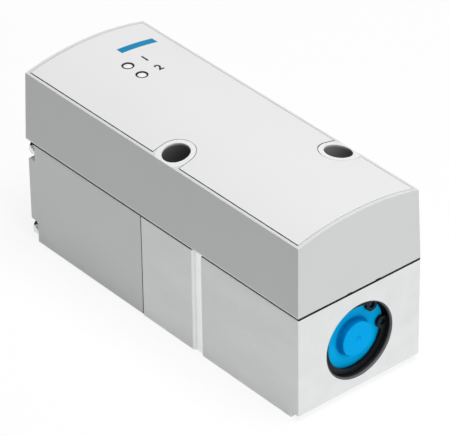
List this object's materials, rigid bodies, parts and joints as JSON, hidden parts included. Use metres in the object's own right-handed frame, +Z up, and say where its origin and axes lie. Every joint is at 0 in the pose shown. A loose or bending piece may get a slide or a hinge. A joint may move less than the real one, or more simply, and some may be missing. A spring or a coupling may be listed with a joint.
{
  "type": "electro pneumatic regulator",
  "caption": "Piloted air pressure regulator: milled valve body with ports and blue end cap, moulded pilot block, crowned hood with mounting screw wells, round electrical plug.",
  "frame": {"origin": "centre of the body's underside, on the valve body's mounting face", "axes": "+X runs along the unit towards the blue end cap, +Y towards the long face with the ports, +Z up"},
  "size_m": [0.1299, 0.045, 0.06],
  "materials": {
    "hood_grey": "satin moulded",
    "label_white": "satin film",
    "window_white": "polished, milky",
    "block_grey": "glass-filled moulding",
    "milled_aluminium": "milled and clear anodised",
    "cap_blue": "satin moulded",
    "ring_black": "black phosphated spring steel",
    "rubber": "nitrile",
    "steel": "zinc plated",
    "brass": "turned",
    "bronze": "sintered bronze",
    "coil_black": "moulded",
    "board_green": "solder mask",
    "chip_black": "moulded",
    "nickel": "nickel plated",
    "gold": "gold flashed"
  },
  "bodies": {
    "housing": {"cover": "hood_grey", "label_panel": "label_white", "power_light_pipe": "window_white", "error_light_pipe": "window_white", "power_led": "window_white", "error_led": "window_white", "pilot_block": "block_grey", "valve_body": "milled_aluminium", "end_cap": "cap_blue", "end_cap_ring": "ring_black", "cover_seal": "rubber", "end_cap_seal": "rubber", "diaphragm": "rubber", "guide_seal_1": "rubber", "guide_seal_2": "rubber", "stem_seal_1": "rubber", "stem_seal_2": "rubber", "fill_valve_seal": "rubber", "vent_valve_seal": "rubber", "feed_seal": "rubber", "sensor_seal": "rubber", "plug_seal": "rubber", "block_screw_1": "steel", "block_screw_2": "steel", "block_screw_3": "steel", "block_screw_4": "steel", "cover_screw_1": "steel", "cover_screw_2": "steel", "poppet_spring": "steel", "fill_valve_spring": "steel", "vent_valve_spring": "steel", "passage_ball": "steel", "board_screw_1": "steel", "board_screw_2": "steel", "board_screw_3": "steel", "board_screw_4": "steel", "stem_guide": "brass", "board_spacer_1": "brass", "board_spacer_2": "brass", "pilot_filter": "bronze", "fill_valve_coil": "coil_black", "vent_valve_coil": "coil_black", "plug_insert": "coil_black", "circuit_board": "board_green", "controller_chip": "chip_black", "pressure_sensor": "chip_black", "plug_shell": "nickel", "plug_nut": "nickel", "plug_pin_1": "gold", "plug_pin_2": "gold", "plug_pin_3": "gold", "plug_pin_4": "gold"},
    "poppet": {"poppet": "brass", "poppet_disc": "rubber"},
    "stem": {"stem": "steel", "diaphragm_plate": "steel", "stem_nut": "steel"},
    "fill_plunger": {"fill_valve_plunger": "steel"},
    "vent_plunger": {"vent_valve_plunger": "steel"}
  },
  "joints": [
    {"name": "poppet_slide", "type": "slide", "parent": "housing", "child": "poppet", "axis": [1, 0, 0], "range_m": [0, 0.0012], "stiffness_N_per_m": 2300, "springref_m": -0.0043, "deforming": ["poppet_spring", "diaphragm"]},
    {"name": "stem_slide", "type": "slide", "parent": "poppet", "child": "stem", "axis": [1, 0, 0], "range_m": [-0.0008, 0], "stiffness_N_per_m": 300, "springref_m": 0.001, "deforming": ["diaphragm"]},
    {"name": "fill_plunger_slide", "type": "slide", "parent": "housing", "child": "fill_plunger", "axis": [0, 0, 1], "range_m": [0, 0.0004], "stiffness_N_per_m": 800, "springref_m": -0.002, "deforming": ["fill_valve_spring"]},
    {"name": "vent_plunger_slide", "type": "slide", "parent": "housing", "child": "vent_plunger", "axis": [0, 0, 1], "range_m": [0, 0.0004], "stiffness_N_per_m": 800, "springref_m": -0.002, "deforming": ["vent_valve_spring"]}
  ]
}
